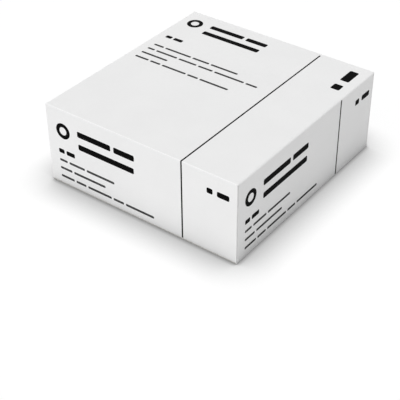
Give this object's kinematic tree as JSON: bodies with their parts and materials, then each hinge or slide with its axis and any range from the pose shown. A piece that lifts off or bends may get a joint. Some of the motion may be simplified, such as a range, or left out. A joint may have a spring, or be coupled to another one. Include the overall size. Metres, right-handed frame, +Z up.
{
  "type": "ampoule carton",
  "caption": "Closed white folding carton with a tuck closure at each end; inside, a folded leaflet and stacked clear trays of sealed glass ampoules.",
  "frame": {"origin": "the middle of the carton's base, on the surface that it stands on", "axes": "+Z up out of the top panel; +Y from the front closure to the rear closure, along the ampoules towards their tips; +X to the right side wall"},
  "size_m": [0.076, 0.08, 0.03],
  "materials": {
    "board": "white coated carton board, satin",
    "paper": "thin uncoated leaflet paper",
    "clear_sheet": "clear formed plastic sheet",
    "ink": "black printing ink on the board",
    "glass": "clear drawn glass"
  },
  "bodies": {
    "carton": {"carton_sleeve": "board", "leaflet": "paper", "lower_tray": "clear_sheet", "upper_tray": "clear_sheet", "ampoule_01": "glass", "ampoule_02": "glass", "ampoule_03": "glass", "ampoule_04": "glass", "ampoule_05": "glass", "ampoule_06": "glass", "ampoule_07": "glass", "ampoule_08": "glass", "ampoule_09": "glass", "ampoule_10": "glass"},
    "front_closure": {"front_closure": "board"},
    "rear_closure": {"rear_closure": "board"}
  },
  "joints": [
    {"name": "front_hinge", "type": "hinge", "parent": "carton", "child": "front_closure", "pos_m": [0, -0.03977, 0.02977], "axis": [-1, 0, 0], "range_deg": [0, 150]},
    {"name": "rear_hinge", "type": "hinge", "parent": "carton", "child": "rear_closure", "pos_m": [0, 0.03977, 0.02977], "axis": [1, 0, 0], "range_deg": [0, 150]}
  ]
}
